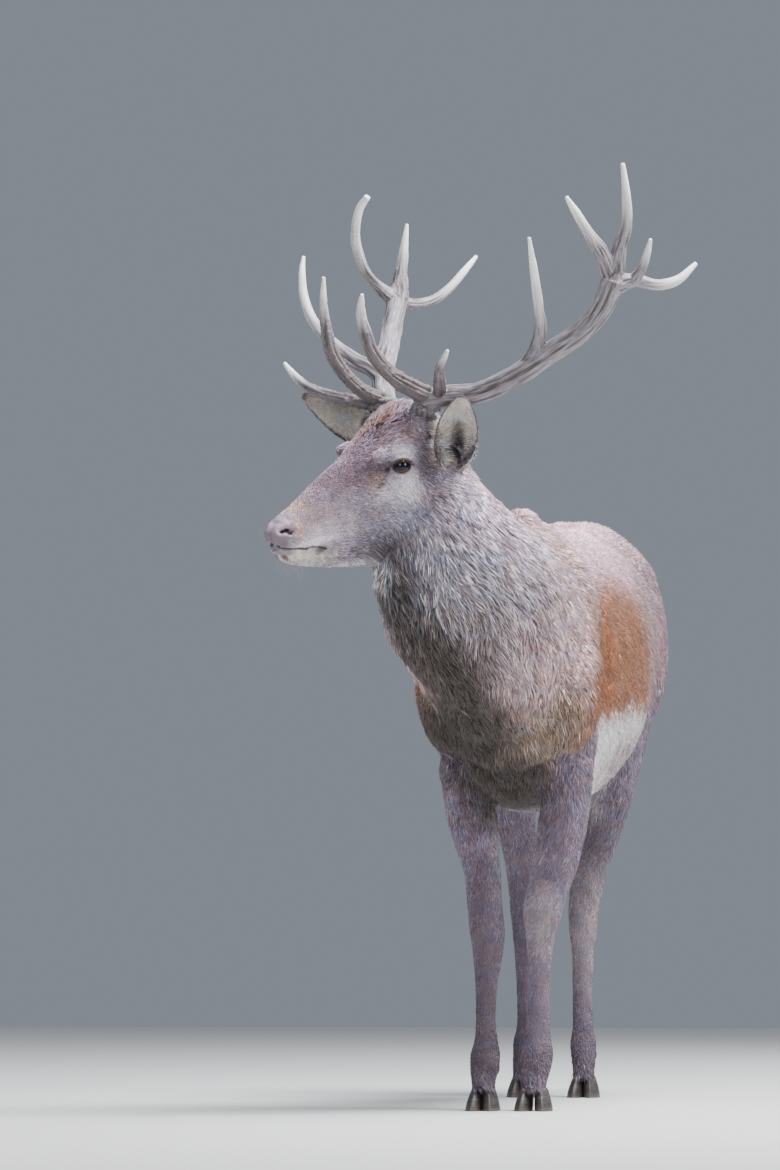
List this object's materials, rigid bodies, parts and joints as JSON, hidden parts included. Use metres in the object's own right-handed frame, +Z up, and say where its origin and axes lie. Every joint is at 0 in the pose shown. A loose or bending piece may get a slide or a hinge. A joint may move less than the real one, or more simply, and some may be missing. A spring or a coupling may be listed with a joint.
{
  "type": "red deer stag",
  "caption": "Life-size standing red deer stag in summer coat, head turned aside, with branched antlers, as a still museum-type model.",
  "frame": {"origin": "on the floor under the middle of the bounding box", "axes": "+Z up, -Y the way the body faces, +X the stag's left"},
  "size_m": [0.8496, 1.8864, 1.837],
  "materials": {
    "coat": "short dense hair, longer on the neck",
    "ear": "short hair outside, pale longer hair inside",
    "antler": "grooved bone, satin, paler polished tips",
    "hoof": "satin dark horn",
    "eye": "wet gloss"
  },
  "bodies": {
    "root": {"antler_left_beam": "antler", "antler_left_bez": "antler", "antler_left_brow": "antler", "antler_left_crown_back": "antler", "antler_left_crown_front": "antler", "antler_left_crown_spur": "antler", "antler_left_crown_top": "antler", "antler_left_trez": "antler", "antler_right_beam": "antler", "antler_right_bez": "antler", "antler_right_brow": "antler", "antler_right_crown_back": "antler", "antler_right_crown_front": "antler", "antler_right_crown_top": "antler", "antler_right_trez": "antler", "ear_left": "ear", "ear_right": "ear", "eye_left": "eye", "eye_right": "eye", "foreleg_left_cannon": "coat", "foreleg_left_claw_left": "hoof", "foreleg_left_claw_right": "hoof", "foreleg_left_dewclaw_left": "hoof", "foreleg_left_dewclaw_right": "hoof", "foreleg_left_upper": "coat", "foreleg_right_cannon": "coat", "foreleg_right_claw_left": "hoof", "foreleg_right_claw_right": "hoof", "foreleg_right_dewclaw_left": "hoof", "foreleg_right_dewclaw_right": "hoof", "foreleg_right_upper": "coat", "head": "coat", "hindleg_left_cannon": "coat", "hindleg_left_claw_left": "hoof", "hindleg_left_claw_right": "hoof", "hindleg_left_dewclaw_left": "hoof", "hindleg_left_dewclaw_right": "hoof", "hindleg_left_upper": "coat", "hindleg_right_cannon": "coat", "hindleg_right_claw_left": "hoof", "hindleg_right_claw_right": "hoof", "hindleg_right_dewclaw_left": "hoof", "hindleg_right_dewclaw_right": "hoof", "hindleg_right_upper": "coat", "neck": "coat", "tail": "coat", "trunk": "coat"}
  },
  "joints": []
}
